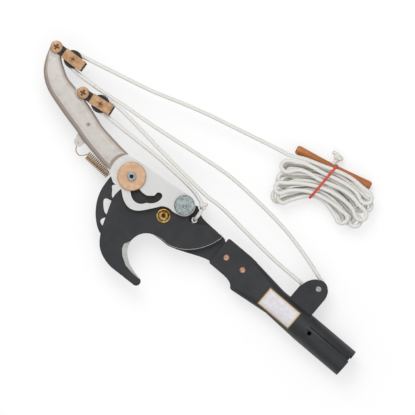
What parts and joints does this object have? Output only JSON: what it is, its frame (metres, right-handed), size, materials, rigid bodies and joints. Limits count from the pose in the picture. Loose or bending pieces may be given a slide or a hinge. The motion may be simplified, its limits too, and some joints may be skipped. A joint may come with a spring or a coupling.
{
  "type": "tree pruner head",
  "caption": "Rope-operated tree pruner head with a hooked jaw, a pivoting blade, a compound lever with pulley blocks, a return spring, a pole socket and a rope with a toggle.",
  "frame": {"origin": "centre of the pole socket's mouth", "axes": "+X out of the socket's mouth, along the pole; +Z to the front, where the lever and cover disc are; +Y to the side of the rope lug"},
  "size_m": [0.501, 0.2735, 0.0449],
  "materials": {
    "black_powder_coat": "satin",
    "zinc_plated_steel": "satin",
    "yellow_zinc_steel": "bright",
    "hardened_steel": "ground",
    "bronze": "machined",
    "copper_zinc_steel": "satin",
    "black_oxide_steel": "satin",
    "forged_aluminium": "tumbled",
    "spring_steel": "bright",
    "black_nylon": "matte",
    "white_braided_rope": "woven",
    "varnished_wood": "varnished",
    "red_rubber": "matte"
  },
  "bodies": {
    "frame": {"hook_plate": "black_powder_coat", "tang_plate": "black_powder_coat", "pole_socket": "black_powder_coat", "socket_rivets": "copper_zinc_steel", "lever_stud": "zinc_plated_steel", "lever_spacer": "zinc_plated_steel", "lever_washer": "zinc_plated_steel", "lever_nut": "zinc_plated_steel", "blade_bolt": "yellow_zinc_steel", "blade_washer": "zinc_plated_steel", "blade_nut": "zinc_plated_steel", "lug_axle": "zinc_plated_steel", "anchor_loop": "white_braided_rope", "anchor_knot": "white_braided_rope", "rope_anchor_strand": "white_braided_rope", "rope_middle_strand": "white_braided_rope", "rope_lug_wrap": "white_braided_rope", "rope_upper_strand": "white_braided_rope", "rope_tail": "white_braided_rope", "rope_hank": "white_braided_rope", "rope_end": "white_braided_rope", "toggle_knot": "white_braided_rope", "wooden_toggle": "varnished_wood", "hank_band": "red_rubber"},
    "lever": {"lever_arm": "forged_aluminium", "lever_bush": "bronze", "upper_block_screw": "copper_zinc_steel", "lower_block_screw": "copper_zinc_steel", "spring_coil": "spring_steel"},
    "spring_end": {"spring_hook": "spring_steel"},
    "blade": {"blade": "hardened_steel", "blade_bush": "bronze", "drive_pin": "zinc_plated_steel", "drive_roller": "zinc_plated_steel", "drive_disc": "copper_zinc_steel", "drive_screw": "zinc_plated_steel"},
    "upper_block": {"upper_block_housing": "black_oxide_steel", "upper_block_plate": "copper_zinc_steel", "upper_block_axle": "copper_zinc_steel", "rope_upper_wrap": "white_braided_rope"},
    "upper_wheel": {"upper_pulley": "black_nylon"},
    "lower_block": {"lower_block_housing": "black_oxide_steel", "lower_block_plate": "copper_zinc_steel", "lower_block_axle": "copper_zinc_steel", "rope_lower_wrap": "white_braided_rope"},
    "lower_wheel": {"lower_pulley": "black_nylon"},
    "lug_wheel": {"lug_pulley": "black_nylon"}
  },
  "joints": [
    {"name": "lever_hinge", "type": "hinge", "parent": "frame", "child": "lever", "pos_m": [-0.2623, 0.0192, 0.0155], "axis": [0, 0, -1], "range_deg": [0, 125], "stiffness_Nm_per_rad": 0.6, "springref_deg": -34.38, "deforming": ["rope_anchor_strand", "rope_middle_strand", "rope_upper_strand", "rope_tail", "spring_coil", "spring_hook"]},
    {"name": "blade_hinge", "type": "hinge", "parent": "frame", "child": "blade", "pos_m": [-0.2731, -0.0056, 0.00475], "axis": [0, 0, -1], "range_deg": [0, 98]},
    {"name": "spring_stretch", "type": "slide", "parent": "lever", "child": "spring_end", "axis": [0.9987, -0.05, 0], "range_m": [0, 0.0475]},
    {"name": "upper_block_swivel", "type": "hinge", "parent": "lever", "child": "upper_block", "pos_m": [-0.4938, 0.0639, 0.014], "axis": [0, 0, -1], "range_deg": [-41.25, 0]},
    {"name": "lower_block_swivel", "type": "hinge", "parent": "lever", "child": "lower_block", "pos_m": [-0.4359, 0.0429, 0.014], "axis": [0, 0, -1], "range_deg": [-31.25, 0]},
    {"name": "upper_pulley_spin", "type": "hinge", "parent": "upper_block", "child": "upper_wheel", "pos_m": [-0.47033, 0.06513, 0.014], "axis": [0, 0, -1], "continuous": true},
    {"name": "lower_pulley_spin", "type": "hinge", "parent": "lower_block", "child": "lower_wheel", "pos_m": [-0.41263, 0.04617, 0.014], "axis": [0, 0, -1], "continuous": true},
    {"name": "lug_pulley_spin", "type": "hinge", "parent": "frame", "child": "lug_wheel", "pos_m": [-0.0804, 0.0451, 0], "axis": [0, 0, -1], "continuous": true}
  ],
  "couplings": [
    {"joint": "blade_hinge", "follows": "lever_hinge", "ratio": 0.784},
    {"joint": "spring_stretch", "follows": "lever_hinge", "m_per_rad": 0.02173},
    {"joint": "upper_block_swivel", "follows": "lever_hinge", "ratio": -0.33},
    {"joint": "lower_block_swivel", "follows": "lever_hinge", "ratio": -0.25}
  ]
}
